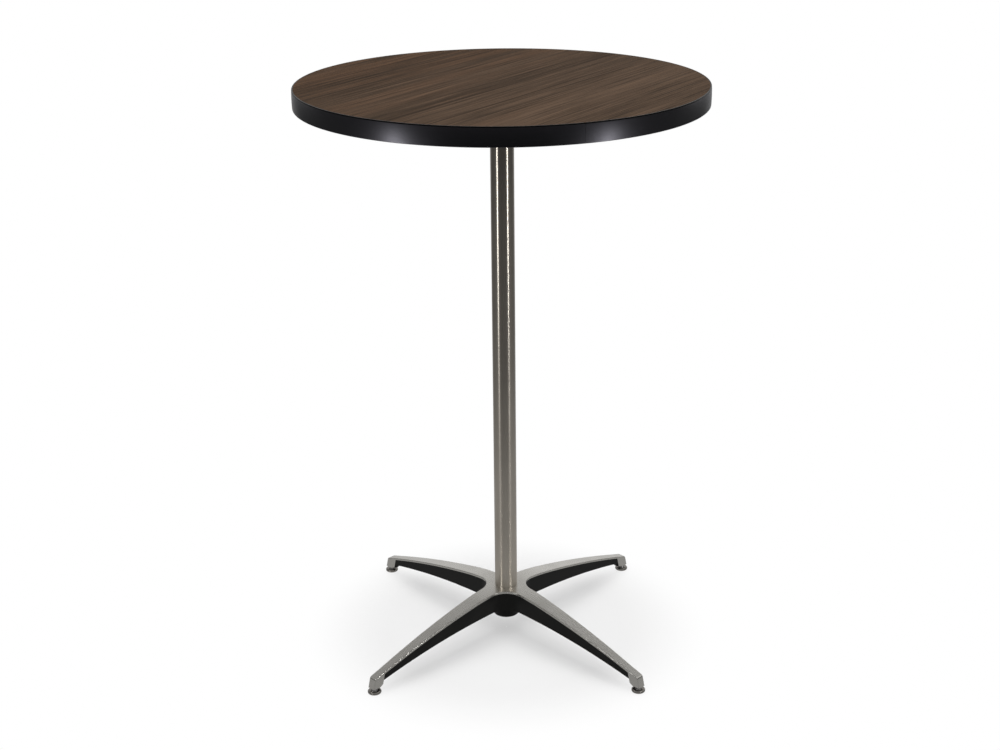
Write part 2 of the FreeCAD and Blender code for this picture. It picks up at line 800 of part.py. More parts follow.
def make_base_casting():
    """One casting: crowned plate with a lip, recessed side panels, hollow legs, posts at the tips, a hub."""
    crown = above_crown("crown", sized(0))
    lip, recess = size("lip_height"), size("panel_recess")
    tip, tip_round = size("glide_circle") - size("leg_tip_inset"), size("leg_tip_round")
    corner, taper, crotch = size("leg_tip_corner"), size("leg_taper"), size("leg_crotch_round")
    tall = size("hub_top") + size("overrun")

    plate_stock = prism("plate_stock", star_corners(tip, tip_round, taper, crotch, None, corner), tall)
    plate = overlap("plate_band", plate_stock, above_crown("lip_region", lip))
    plate = rounded_top("plate", less("plate_under_crown", plate, crown), size("lip_round"))

    reach = size("leg_arch_radius")
    far = size("glide_circle") + size("overrun")
    arch_fall = reach - root(reach * reach - far * far)
    arch_end = size("leg_arch_height") - arch_fall
    below = spun("arch_region", [
        (0, size("leg_arch_height"), -reach), (far, arch_end), (far, -size("overrun")), (0, -size("overrun")),
    ])
    panel_corners = star_corners(tip, tip_round, taper, crotch, recess, corner)
    panel_stock = prism("panel_stock", panel_corners, tall)
    panels = less("panels_under_plate", panel_stock, above_crown("plate_middle_region", lip * HALF_SHARE))
    panels = less("panels_over_arch", panels, below)
    hollow_tip = tip - size("leg_hollow_inset")
    hollow_round = tip_round + size("leg_hollow_inset") * tangent(taper)
    hollow_corners = star_corners(hollow_tip, hollow_round, taper, crotch, recess + size("leg_wall"))
    hollow_stock = prism("hollow_stock", hollow_corners, tall)
    hollow = less("hollow", hollow_stock, above_crown("skin_region", size("leg_skin")))
    panels = less("panels", panels, hollow)

    hub_radius, hub_round = half("hub_diameter"), size("hub_edge_round")
    hub_top = size("hub_top") - lip * HALF_SHARE
    hub = spun("hub", [
        (0, size("hub_bottom")), (hub_radius - hub_round, size("hub_bottom"), hub_round),
        (hub_radius, size("hub_bottom") + hub_round), (hub_radius, hub_top), (0, hub_top),
    ])

    foot = make_foot(crown)
    feet = [foot]
    for number in range(1, LEG_COUNT):
        copy = doc.addObject("Part::Compound", f"foot_copy_{number}")
        copy.Links = [foot]
        copy.Placement = FreeCAD.Placement(FreeCAD.Vector(), FreeCAD.Rotation(UP, number * LEG_TURN))
        feet.append(copy)
    raw = joined("raw_casting", [plate, panels, hub] + feet)

    recess_radius = half("nut_recess_diameter")
    low = size("hub_bottom") - size("overrun")
    bores = [spun("hub_bore", [
        (0, low), (recess_radius, low), (recess_radius, nut_seat), (rod_hole_radius, nut_seat),
        (rod_hole_radius, column_bottom), (column_socket_radius, column_bottom),
        (column_socket_radius, tall), (0, tall),
    ])]
    for number in range(LEG_COUNT):
        bearing = sized(number * LEG_TURN)
        hole = doc.addObject("Part::Cylinder", f"glide_hole_{number}")
        bind(hole, Radius=half("stem_diameter") + size("stem_thread_gap"))
        bind(hole, Height=stem_hole_top)
        place(hole, x=size("glide_circle") * cosine(bearing), y=size("glide_circle") * sine(bearing))
        bores.append(hole)
    casting = less("base_casting", raw, joined("bores", bores))
    place(casting, turn=size("leg_angle"))
    return casting


def glide_spot(number):
    bearing = size("leg_angle") + number * LEG_TURN
    return {"x": size("glide_circle") * cosine(bearing), "y": size("glide_circle") * sine(bearing)}


def make_glide_foot(number):
    """Chromed cup: a roof round the stem's neck, room for the stem's head and a recess for the pad."""
    outer, thickness = half("glide_diameter"), size("glide_thickness")
    low_round, high_round = size("glide_bottom_round"), size("glide_top_round")
    recess = half("pad_diameter") + size("pad_gap")
    pad_top = size("pad_thickness") - size("pad_proud")
    room, roof = half("stem_head_diameter") + size("glide_gap"), thickness - size("glide_roof")
    neck = half("stem_neck_diameter") + size("glide_gap")
    body = turned(f"glide_foot_{number}", [
        (recess, 0), (outer - low_round, 0, low_round), (outer, low_round),
        (outer, thickness - high_round, high_round), (outer - high_round, thickness), (neck, thickness),
        (neck, roof), (room, roof), (room, pad_top), (recess, pad_top),
    ])
    place(body, z=size("pad_proud"), **glide_spot(number))
    return body


def make_glide_pad(number):
    radius, thickness, chamfer = half("pad_diameter"), size("pad_thickness"), size("pad_chamfer")
    body = turned(f"glide_pad_{number}", [
        (0, 0), (radius - chamfer, 0), (radius, chamfer), (radius, thickness), (0, thickness),
    ])
    place(body, **glide_spot(number))
    return body


def make_glide_stem(number):
    """Stem that screws into the leg: a head held inside the foot, a neck, a collar and the threaded shank."""
    body = new_body(f"glide_stem_{number}")
    shank, neck, head = half("stem_diameter"), half("stem_neck_diameter"), half("stem_head_diameter")
    collar, chamfer = size("collar_height"), size("stem_chamfer")
    top = stem_top - glide_top
    neck_bottom = 0 - size("glide_roof") - size("glide_gap")
    head_bottom = neck_bottom - size("stem_head_height")
    sketch = new_sketch(body, f"stem_{number}_outline", "XZ_Plane")
    draw_outline(sketch, [
        (0, head_bottom), (head, head_bottom), (head, neck_bottom), (neck, neck_bottom), (neck, 0),
        (shank, 0), (shank, top - chamfer), (shank - chamfer, top), (0, top),
    ])
    revolve(body, f"stem_{number}_turning", sketch)
    hexagon_pad(body, f"stem_{number}_collar", size("collar_across_flats"), collar)
    place(body, z=glide_top, **glide_spot(number))
    return body


# Build every sub-part
subparts = [
    make_top_laminate(), make_top_core(), make_backer_sheet(), make_edge_band(),
    make_top_spider(), make_spider_screws(), make_column_tube(), make_tie_rod(),
    make_flat_washer(), make_spring_washer(), make_rod_nut(), make_hub_plug(), make_base_casting(),
]
for leg in range(LEG_COUNT):
    subparts += [make_glide_foot(leg + 1), make_glide_pad(leg + 1), make_glide_stem(leg + 1)]
doc.recompute()

# Stop before anything is written if a feature or a solid has failed
failed = [item.Name for item in doc.Objects if "Invalid" in item.State or "Error" in item.State]
if failed:
    raise RuntimeError(f"these features failed: {failed}")
for item in subparts:
    if item.Shape.isNull() or not item.Shape.isValid() or not item.Shape.Solids:
        raise RuntimeError(f"{item.Label} has no valid solid")

os.makedirs("parts", exist_ok=True)
for item in subparts:
    item.Shape.exportStep(f"parts/{item.Label}.step")
    print(f"{item.Label}: {len(item.Shape.Solids)} solids, {item.Shape.Volume:.1f} cubic mm")
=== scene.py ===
"""Dress the pub table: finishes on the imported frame, a studio and a camera.

The edge band gets its swelling wall and its seam here, and the glides' stems get their cut thread.
"""

import logging
import math
from dataclasses import dataclass
from enum import Enum
from typing import Any, Optional, Union

import bpy
import numpy as np
from mathutils import Matrix, Vector


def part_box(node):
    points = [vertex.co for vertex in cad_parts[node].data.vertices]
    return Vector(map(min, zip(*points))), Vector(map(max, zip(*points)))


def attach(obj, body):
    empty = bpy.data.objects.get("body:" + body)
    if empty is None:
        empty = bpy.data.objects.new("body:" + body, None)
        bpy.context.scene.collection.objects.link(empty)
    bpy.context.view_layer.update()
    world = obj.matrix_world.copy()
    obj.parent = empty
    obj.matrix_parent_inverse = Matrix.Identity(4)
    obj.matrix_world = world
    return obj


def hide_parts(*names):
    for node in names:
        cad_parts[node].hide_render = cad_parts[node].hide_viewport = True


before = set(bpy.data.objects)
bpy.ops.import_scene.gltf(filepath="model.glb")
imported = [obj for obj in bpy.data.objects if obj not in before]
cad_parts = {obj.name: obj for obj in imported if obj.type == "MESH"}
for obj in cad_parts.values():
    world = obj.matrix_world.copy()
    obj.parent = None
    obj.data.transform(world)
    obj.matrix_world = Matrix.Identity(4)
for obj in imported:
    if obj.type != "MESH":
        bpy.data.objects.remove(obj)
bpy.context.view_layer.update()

LOG = logging.getLogger("pub_table")
MM = 0.001
FULL_TURN = 2.0 * math.pi
QUARTER_TURN = FULL_TURN / 4.0
DIAGONAL = math.sqrt(0.5)
NOISE_MEAN = 0.5
# Order of a quad's corners that turns its face over.
TURNED_OVER = [0, 3, 2, 1]
# Corners at the back of the edge band's section, where its faces stay flat.
BACK_CORNERS = 6
Colour = tuple[float, float, float, float]
Span = tuple[float, float]
Value = Union["Shade", float]


def srgb(red: int, green: int, blue: int) -> Colour:
    """Turn a screen's colour, from 0 to 255 in each channel, into the linear colour that the shaders use."""
    shares = [channel / 255.0 for channel in (red, green, blue)]
    linear = [s / 12.92 if s <= 0.04045 else ((s + 0.055) / 1.055) ** 2.4 for s in shares]
    return (linear[0], linear[1], linear[2], 1.0)


def grey(level: float) -> Colour:
    """Give an even linear grey."""
    return (level, level, level, 1.0)


class Leg(Enum):
    """The four legs with their levelling glides, by the number that the frame gives them."""

    BACK_LEFT = 1
    FRONT_LEFT = 2
    FRONT_RIGHT = 3
    BACK_RIGHT = 4


class Side(Enum):
    """Sides of the camera, by the sign of x."""

    LEFT = -1.0
    RIGHT = 1.0


class LampShape(Enum):
    """Shapes of a lamp's panel."""

    OBLONG = "RECTANGLE"
    ROUND = "DISK"


class Op(Enum):
    """Operations of a Math node."""

    ADD = "ADD"
    SUBTRACT = "SUBTRACT"
    MULTIPLY = "MULTIPLY"
    DIVIDE = "DIVIDE"
    POWER = "POWER"
    MINIMUM = "MINIMUM"
    MAXIMUM = "MAXIMUM"
    ROOT = "SQRT"
    SIZE = "ABSOLUTE"


class Shade:
    """A node's output that stands in Python expressions; each operator adds one Math node."""

    def __init__(self, graph: "Graph", socket: bpy.types.NodeSocket) -> None:
        """Keep an output socket, and the graph that gets the nodes of later expressions."""
        self.graph = graph
        self.socket = socket

    def __add__(self, other: Value) -> "Shade":
        """Give this plus the other."""
        return self.graph.math(Op.ADD, self, other)

    def __radd__(self, other: Value) -> "Shade":
        """Give the other plus this."""
        return self.graph.math(Op.ADD, other, self)

    def __sub__(self, other: Value) -> "Shade":
        """Give this minus the other."""
        return self.graph.math(Op.SUBTRACT, self, other)

    def __rsub__(self, other: Value) -> "Shade":
        """Give the other minus this."""
        return self.graph.math(Op.SUBTRACT, other, self)

    def __mul__(self, other: Value) -> "Shade":
        """Give this times the other."""
        return self.graph.math(Op.MULTIPLY, self, other)

    def __rmul__(self, other: Value) -> "Shade":
        """Give the other times this."""
        return self.graph.math(Op.MULTIPLY, other, self)

    def __truediv__(self, other: Value) -> "Shade":
        """Give this divided by the other."""
        return self.graph.math(Op.DIVIDE, self, other)

    def __rtruediv__(self, other: Value) -> "Shade":
        """Give the other divided by this."""
        return self.graph.math(Op.DIVIDE, other, self)

    def __pow__(self, other: Value) -> "Shade":
        """Give this to the power of the other."""
        return self.graph.math(Op.POWER, self, other)

    def __abs__(self) -> "Shade":
        """Give this without its sign."""
        return self.graph.math(Op.SIZE, self)

    def swing(self, gain: float) -> "Shade":
        """Give how far noise is off its mean, times a gain."""
        return (self - NOISE_MEAN) * gain


class Graph:
    """The node tree of a material or of the world, written as expressions."""

    def __init__(self, tree: bpy.types.NodeTree) -> None:
        """Empty a node tree to write it afresh."""
        self.tree = tree
        tree.nodes.clear()

    def add(self, kind: str, settings: Optional[dict[str, Any]] = None,
            inputs: Optional[dict[Union[str, int], Any]] = None) -> bpy.types.Node:
        """Add one node: its settings first, then its inputs.

        Args:
            kind: The node's type.
            settings: Properties of the node by name.
            inputs: A value, or an expression to link, for each input by name or number.

        Returns:
            The new node.
        """
        node = self.tree.nodes.new(kind)
        for name, setting in (settings or {}).items():
            setattr(node, name, setting)
        for name, given in (inputs or {}).items():
            if isinstance(given, Shade):
                self.tree.links.new(given.socket, node.inputs[name])
            else:
                node.inputs[name].default_value = given
        return node

    def out(self, node: bpy.types.Node, output: Union[str, int] = 0) -> Shade:
        """Wrap one output of a node."""
        return Shade(self, node.outputs[output])

    def math(self, step: Op, *values: Value) -> Shade:
        """Add a Math node with a number or an expression for each input."""
        return self.out(self.add("ShaderNodeMath", {"operation": step.value}, dict(enumerate(values))))

    def highest(self, first: Value, second: Value) -> Shade:
        """Give the larger of two values."""
        return self.math(Op.MAXIMUM, first, second)

    def lowest(self, first: Value, second: Value) -> Shade:
        """Give the smaller of two values."""
        return self.math(Op.MINIMUM, first, second)

    def root(self, value: Value) -> Shade:
        """Give the square root of a value."""
        return self.math(Op.ROOT, value)

    def ease(self, value: Value, start: float, end: float) -> Shade:
        """Give a share that follows a value smoothly, from 0 at the start to 1 at the end."""
        settings = {"interpolation_type": "SMOOTHSTEP"}
        return self.out(self.add("ShaderNodeMapRange", settings, {0: value, 1: start, 2: end}))

    def axes(self, coordinates: str) -> tuple[Shade, Shade, Shade]:
        """Split one output of the texture coordinates, given by name, into x, y and z."""
        spot = self.out(self.add("ShaderNodeTexCoord"), coordinates)
        parts = self.add("ShaderNodeSeparateXYZ", None, {0: spot})
        return self.out(parts, 0), self.out(parts, 1), self.out(parts, 2)

    def place(self) -> tuple[Shade, Shade, Shade]:
        """Give the surface point's x, y and z in the table's frame, in metres."""
        return self.axes("Object")

    def from_axis(self, x: Shade, y: Shade) -> Shade:
        """Give a point's distance from the column's axis."""
        return self.root(x * x + y * y)

    def noise(self, x: Value, y: Value, z: Value, detail: float, weight: float) -> Shade:
        """Give soft noise round one half, of about one ripple for each unit of its coordinates.

        The detail is the number of finer octaves, and the weight is theirs.
        """
        spot = self.out(self.add("ShaderNodeCombineXYZ", None, {0: x, 1: y, 2: z}))
        inputs = {"Vector": spot, "Scale": 1.0, "Detail": detail, "Roughness": weight}
        return self.out(self.add("ShaderNodeTexNoise", None, inputs), "Fac")

    def blend(self, share: Value, first: Union[Shade, Colour], second: Union[Shade, Colour]) -> Shade:
        """Mix two colours by the share of the second."""
        settings = {"data_type": "RGBA", "clamp_factor": True}
        return self.out(self.add("ShaderNodeMix", settings, {0: share, 6: first, 7: second}), 2)

    def bump(self, height: Shade, depth: float) -> Shade:
        """Turn a height pattern into a bent normal; one unit of the pattern is the depth, in metres."""
        return self.out(self.add("ShaderNodeBump", None, {"Distance": depth, "Height": height}))

    def surface(self, inputs: dict[Union[str, int], Any]) -> Shade:
        """Make one Principled surface from a value or an expression for each of its inputs."""
        return self.out(self.add("ShaderNodeBsdfPrincipled", None, inputs))

    def glow(self, colour: Union[Shade, Colour]) -> Shade:
        """Make a surface that glows in a colour, or in grey at a level."""
        return self.out(self.add("ShaderNodeEmission", None, {"Color": colour, "Strength": 1.0}))

    def layer(self, share: Value, first: Shade, second: Shade) -> Shade:
        """Mix two surfaces by the share of the second."""
        return self.out(self.add("ShaderNodeMixShader", None, {0: share, 1: first, 2: second}))

    def end(self, surface: Shade) -> None:
        """End a material in a surface."""
        self.add("ShaderNodeOutputMaterial", None, {"Surface": surface})

    def finish(self, inputs: dict[Union[str, int], Any]) -> None:
        """End a material in one Principled surface with the given inputs."""
        self.end(self.surface(inputs))


def new_material(name: str) -> tuple[bpy.types.Material, Graph]:
    """Make a material, and give it with its empty graph."""
    made = bpy.data.materials.new(name)
    made.use_nodes = True
    return made, Graph(made.node_tree)


@dataclass(frozen=True)
class Ripple:
    """Noise of one fineness: its ripples to the metre in three directions, its octaves and their weight."""

    first: float
    second: float
    third: float
    detail: float = 2.0
    weight: float = 0.5

    def over(self, graph: Graph, x: Value, y: Value, z: Value) -> Shade:
        """Give the noise at a point."""
        return graph.noise(x * self.first, y * self.second, z * self.third, self.detail, self.weight)


@dataclass(frozen=True)
class GrainFigure:
    """Noise drawn out along the grain: ripples to the metre along and across it, its layer and octaves."""

    along: float
    across: float
    layer: float
    detail: float = 2.0
    weight: float = 0.5

    def over(self, graph: Graph, along: Value, across: Value) -> Shade:
        """Give the noise at a place along and across the grain."""
        return graph.noise(along * self.along, across * self.across, self.layer, self.detail, self.weight)


@dataclass(frozen=True)
class GrainBand:
    """A broad band of lighter or darker wood: its place across the grain, reach to each side, and tone."""

    spot: float
    low_reach: float
    high_reach: float
    tone: float


@dataclass(frozen=True)
class Finish:
    """A named finish that can be put on any piece."""

    name: str

    def material(self) -> bpy.types.Material:
        """Make the finish's material, with its nodes painted."""
        made, graph = new_material(self.name)
        self.paint(graph)
        return made

    def paint(self, graph: Graph) -> None:
        """Write the finish's nodes into the material's empty graph."""
        raise NotImplementedError(self.name)


@dataclass(frozen=True)
class WalnutLaminate(Finish):
    """Walnut print under a satin wear layer: long fine streaks, broad bands, pores and a few dark lines."""

    grain_bearing: float = 57.0
    # Painted sheen: each brown is lifted evenly to hold the satin layer's sheen, so the gloss level below
    # stays near nothing.
    dark: Colour = srgb(52, 43, 35)
    light: Colour = srgb(103, 84, 69)
    warm: Colour = srgb(107, 82, 64)
    line: Colour = srgb(44, 36, 30)
    wander: GrainFigure = GrainFigure(2.4, 5.0, 0.0)
    wander_reach: float = 7.0 * MM
    mean_tone: float = 0.5
    clouds: GrainFigure = GrainFigure(0.9, 16.0, 4.0, 3.0)
    cloud_gain: float = 0.5
    streaks: GrainFigure = GrainFigure(1.5, 95.0, 9.0, 4.0, 0.65)
    streak_gain: float = 1.1
    streak_roughness: float = 0.16
    hairs: GrainFigure = GrainFigure(3.4, 540.0, 17.0, 3.0, 0.7)
    hair_gain: float = 4.2
    hair_height: float = 0.4
    pores: GrainFigure = GrainFigure(45.0, 1300.0, 23.0)
    pore_span: Span = (0.57, 0.70)
    pore_share: float = 0.35
    pore_height: float = 0.6
    bands: tuple[GrainBand, ...] = (
        GrainBand(-0.200, 0.075, 0.058, 0.26), GrainBand(-0.020, 0.010, 0.075, -0.28),
        GrainBand(0.080, 0.040, 0.030, 0.05), GrainBand(0.240, 0.120, 0.090, -0.22),
    )
    warm_slope: float = 1.1
    warm_span: Span = (0.40, 0.90)
    lines: tuple[float, ...] = (0.279, -0.022, -0.092)
    line_half_width: float = 2.4 * MM
    line_ripples: float = 3.0
    line_layer: float = 7.3
    line_fade: Span = (0.25, 0.5)
    line_share: float = 0.95
    roughness: float = 0.50
    # Near nothing, because the sheen is painted into the browns above.
    gloss_level: float = 0.002
    relief: float = 0.04 * MM

    def paint(self, graph: Graph) -> None:
        """Stretch noise along the grain at several widths and mix the browns by it."""
        x, y, _ = graph.place()
        bearing = math.radians(self.grain_bearing)
        along = x * math.cos(bearing) + y * math.sin(bearing)
        across = y * math.cos(bearing) - x * math.sin(bearing)
        drift = across + self.wander.over(graph, along, across).swing(self.wander_reach)
        figures = (self.clouds, self.streaks, self.hairs, self.pores)
        clouds, streaks, hairs, pores = (figure.over(graph, along, drift) for figure in figures)
        tone = self.mean_tone + clouds.swing(self.cloud_gain) + streaks.swing(self.streak_gain)
        tone = tone + hairs.swing(self.hair_gain)
        for band in self.bands:
            offset = drift - band.spot
            reach = graph.highest(offset / band.high_reach, offset / -band.low_reach)
            tone = tone + (1.0 - graph.ease(reach, 0.0, 1.0)) * band.tone
        cool = graph.blend(tone, self.dark, self.light)
        warm = graph.blend(tone, self.dark, self.warm)
        wood = graph.blend(graph.ease(clouds + across * self.warm_slope, *self.warm_span), cool, warm)
        for number, spot in enumerate(self.lines):
            breaks = GrainFigure(self.line_ripples, 0.0, number * self.line_layer, 1.0)
            fade = graph.ease(breaks.over(graph, along, 0.0), *self.line_fade)
            near = 1.0 - graph.ease(abs(drift - spot), 0.0, self.line_half_width)
            wood = graph.blend(near * fade * self.line_share, wood, self.line)
        pits = graph.ease(pores, *self.pore_span)
        wood = graph.blend(pits * self.pore_share, wood, self.line)
        graph.finish({
            "Base Color": wood,
            "Roughness": self.roughness + streaks.swing(self.streak_roughness),
            "Specular IOR Level": self.gloss_level,
            "Normal": graph.bump(1.0 - pits * self.pore_height + hairs * self.hair_height, self.relief),
        })


@dataclass(frozen=True)
class BandVinyl(Finish):
    """Black vinyl edge band with a soft gloss, a fine drawn texture, faint scuffs and a dull top edge."""

    colour: Colour = srgb(5, 5, 5)
    scuff: Colour = srgb(15, 15, 14)
    drawn: Ripple = Ripple(30.0, 30.0, 2600.0)
    drawn_roughness: float = 0.08
    drawn_height: float = 0.3
    scuffs: Ripple = Ripple(22.0, 22.0, 240.0, 5.0, 0.65)
    scuff_span: Span = (0.60, 0.80)
    scuff_share: float = 0.5
    scuff_roughness: float = 0.12
    grain: Ripple = Ripple(1800.0, 1800.0, 1800.0, 1.0)
    grain_height: float = 0.7
    relief: float = 0.012 * MM
    roughness: float = 0.31
    gloss_level: float = 0.95
    gloss_tint: Colour = (0.90, 0.88, 1.0, 1.0)
    edge_gloss_level: float = 0.06
    edge_start: float = 1064.56 * MM
    edge_end: float = 1065.21 * MM

    def paint(self, graph: Graph) -> None:
        """Draw fine level lines round the band and a few scuffs, and dull its top edge."""
        x, y, z = graph.place()
        ripples = (self.drawn, self.scuffs, self.grain)
        drawn, scuffs, grain = (ripple.over(graph, x, y, z) for ripple in ripples)
        scuffed = graph.ease(scuffs, *self.scuff_span)
        inputs = {
            "Base Color": graph.blend(scuffed * self.scuff_share, self.colour, self.scuff),
            "Roughness": self.roughness + drawn.swing(self.drawn_roughness) + scuffed * self.scuff_roughness,
            "Specular Tint": self.gloss_tint,
            "Normal": graph.bump(grain * self.grain_height + drawn * self.drawn_height, self.relief),
        }
        wall = graph.surface({**inputs, "Specular IOR Level": self.gloss_level})
        rubbed = graph.surface({**inputs, "Specular IOR Level": self.edge_gloss_level})
        graph.end(graph.layer(graph.ease(z, self.edge_start, self.edge_end), wall, rubbed))


@dataclass(frozen=True)
class SatinTube(Finish):
    """Satin steel tube, ground round its girth so that lights draw out upright, and duller at its foot."""

    colour: Colour = (0.57, 0.525, 0.46, 1.0)
    stain: Colour = (0.50, 0.46, 0.40, 1.0)
    stretch: float = 0.857
    stretch_turn: float = 0.25
    roughness: float = 0.29
    foot_roughness: float = 0.32
    foot_span: Span = (0.15, 0.50)
    lines: Ripple = Ripple(14.0, 14.0, 2400.0, 3.0, 0.7)
    line_roughness: float = 0.01
    clouds: Ripple = Ripple(30.0, 30.0, 9.0, 4.0)
    cloud_roughness: float = 0.02
    stain_span: Span = (0.35, 0.75)

    def paint(self, graph: Graph) -> None:
        """Rule fine grinding lines round the tube, with faint cloudy stains."""
        x, y, z = graph.place()
        lines, clouds = (ripple.over(graph, x, y, z) for ripple in (self.lines, self.clouds))
        fine = graph.ease(z, *self.foot_span) * (self.roughness - self.foot_roughness)
        uneven = lines.swing(self.line_roughness) + clouds.swing(self.cloud_roughness)
        graph.finish({
            "Base Color": graph.blend(graph.ease(clouds, *self.stain_span), self.colour, self.stain),
            "Metallic": 1.0,
            "Roughness": self.foot_roughness + fine + uneven,
            "Anisotropic": self.stretch,
            "Anisotropic Rotation": self.stretch_turn,
        })


@dataclass(frozen=True)
class PaintedCasting(Finish):
    """Cast base with a brushed, polished plate, lip and posts, and black paint on the panels and the hub."""

    metal: Colour = (0.56, 0.545, 0.51, 1.0)
    worn: Colour = (0.48, 0.465, 0.43, 1.0)
    worn_span: Span = (0.40, 0.78)
    worn_share: float = 0.7
    metal_roughness: float = 0.27
    metal_cloud_roughness: float = 0.08
    brush: Ripple = Ripple(18.0, 1500.0, 300.0, 3.0, 0.6)
    brush_roughness: float = 0.10
    brush_height: float = 0.02
    brush_overlap: float = 2.0 * MM
    paint_black: Colour = srgb(12, 12, 10)
    paint_worn: Colour = srgb(20, 20, 18)
    paint_span: Span = (0.50, 0.80)
    paint_gloss_level: float = 0.16
    paint_roughness: float = 0.38
    paint_cloud_roughness: float = 0.10
    paint_edge: float = 0.12 * MM
    paint_wander: float = 0.25 * MM
    wander: Ripple = Ripple(260.0, 260.0, 260.0, 3.0)
    clouds: Ripple = Ripple(24.0, 24.0, 24.0, 4.0)
    peel: Ripple = Ripple(900.0, 900.0, 900.0)
    peel_roughness: float = 0.12
    relief: float = 0.008 * MM
    crown_top: float = 97.0 * MM
    crown_flat: float = 26.0 * MM
    shoulder_radius: float = 410.0 * MM
    shoulder_slope: float = 9.7
    leg_radius: float = 1900.0 * MM
    lip_height: float = 3.9 * MM
    post_start: float = 290.0 * MM
    post_margin: float = 0.35 * MM
    tip_centre: float = 336.5 * MM
    panel_half_width: float = 6.0 * MM
    panel_taper: float = 1.8

    @staticmethod
    def leg_lines(x: Shade, y: Shade) -> tuple[Shade, Shade]:
        """Give a point's place along each of the two lines of legs, at 45 degrees to x and y."""
        return (x + y) * DIAGONAL, (x - y) * DIAGONAL

    def crown_drop(self, graph: Graph, radius: Shade) -> Shade:
        """Give how far the crowned top has fallen at a radius: an arc over the shoulder, then a wider arc.

        Args:
            graph: The graph to write in.
            radius: Distance from the column's axis.

        Returns:
            The fall below the flat middle, in metres.
        """
        slope = math.radians(self.shoulder_slope)
        width = self.shoulder_radius * math.sin(slope)
        over = graph.lowest(graph.highest(radius - self.crown_flat, 0.0), width)
        shoulder = self.shoulder_radius - graph.root(self.shoulder_radius ** 2 - over * over)
        out = graph.highest(radius - (self.crown_flat + width), 0.0)
        lean = math.sin(slope) + out / self.leg_radius
        leg = self.leg_radius * (math.cos(slope) - graph.root(1.0 - lean * lean))
        return shoulder + leg

    def polished(self, graph: Graph, x: Shade, y: Shade, z: Shade) -> Shade:
        """Give 1 on bare metal, on the plate with its lip and the posts at the tips, and 0 on paint."""
        first, second = (abs(line) for line in self.leg_lines(x, y))
        along, across = graph.highest(first, second), graph.lowest(first, second)
        edge = self.paint_edge
        depth = self.crown_top - self.crown_drop(graph, graph.from_axis(x, y)) - z
        depth = depth + self.wander.over(graph, x, y, z).swing(self.paint_wander)
        plate = 1.0 - graph.ease(depth, self.lip_height - edge, self.lip_height + edge)
        panel = self.panel_half_width + (self.tip_centre - along) * math.tan(math.radians(self.panel_taper))
        proud = graph.ease(across - panel, self.post_margin - edge, self.post_margin + edge)
        beyond = graph.ease(along, self.tip_centre, self.tip_centre + self.panel_half_width)
        post = graph.highest(proud, beyond) * graph.ease(along, self.post_start, self.post_start + edge)
        return graph.highest(plate, post)

    def brushed(self, graph: Graph, x: Shade, y: Shade, z: Shade) -> Shade:
        """Give brush marks, as noise, along each line of legs, and change over between them half-way."""
        first, second = self.leg_lines(x, y)
        first_marks = self.brush.over(graph, first, second, z)
        second_marks = self.brush.over(graph, second, first, z)
        on_first = graph.ease(abs(first) - abs(second), -self.brush_overlap, self.brush_overlap)
        return second_marks + (first_marks - second_marks) * on_first

    def paint(self, graph: Graph) -> None:
        """Brush the bare metal along the legs and spray the paint with a fine orange peel."""
        x, y, z = graph.place()
        bare = self.polished(graph, x, y, z)
        brush = self.brushed(graph, x, y, z)
        clouds, peel = (ripple.over(graph, x, y, z) for ripple in (self.clouds, self.peel))
        metal = graph.blend(graph.ease(clouds, *self.worn_span) * self.worn_share, self.metal, self.worn)
        metal_rough = self.metal_roughness + brush.swing(self.brush_roughness)
        metal_rough = metal_rough + clouds.swing(self.metal_cloud_roughness)
        paint = graph.blend(graph.ease(clouds, *self.paint_span), self.paint_black, self.paint_worn)
        paint_rough = self.paint_roughness + peel.swing(self.peel_roughness)
        paint_rough = paint_rough + clouds.swing(self.paint_cloud_roughness)
        graph.finish({
            "Base Color": graph.blend(bare, paint, metal),
            "Metallic": bare,
            "Roughness": paint_rough + (metal_rough - paint_rough) * bare,
            "Specular IOR Level": self.paint_gloss_level,
            "Normal": graph.bump(peel + (brush * self.brush_height - peel) * bare, self.relief),
        })


@dataclass(frozen=True)
class BrightPlate(Finish):
    """Plated metal: a clear base colour, fine turning lines round an upright axis and faint mottling."""

    colour: Colour
    dull: Colour
    roughness: float
    mottle: float
    clouds: Ripple = Ripple(160.0, 160.0, 160.0, 5.0, 0.6)
    dull_span: Span = (0.45, 0.75)
    dull_roughness: float = 0.2
    lines: Ripple = Ripple(60.0, 60.0, 5200.0)
    line_roughness: float = 0.05
    line_depth: float = 0.002 * MM

    def paint(self, graph: Graph) -> None:
        """Mix bright and dull plate by noise, under faint lines."""
        x, y, z = graph.place()
        clouds, lines = (ripple.over(graph, x, y, z) for ripple in (self.clouds, self.lines))
        dulled = graph.ease(clouds, *self.dull_span) * self.mottle
        graph.finish({
            "Base Color": graph.blend(dulled, self.colour, self.dull),
            "Metallic": 1.0,
            "Roughness": self.roughness + dulled * self.dull_roughness + lines.swing(self.line_roughness),
            "Normal": graph.bump(lines, self.line_depth),
        })


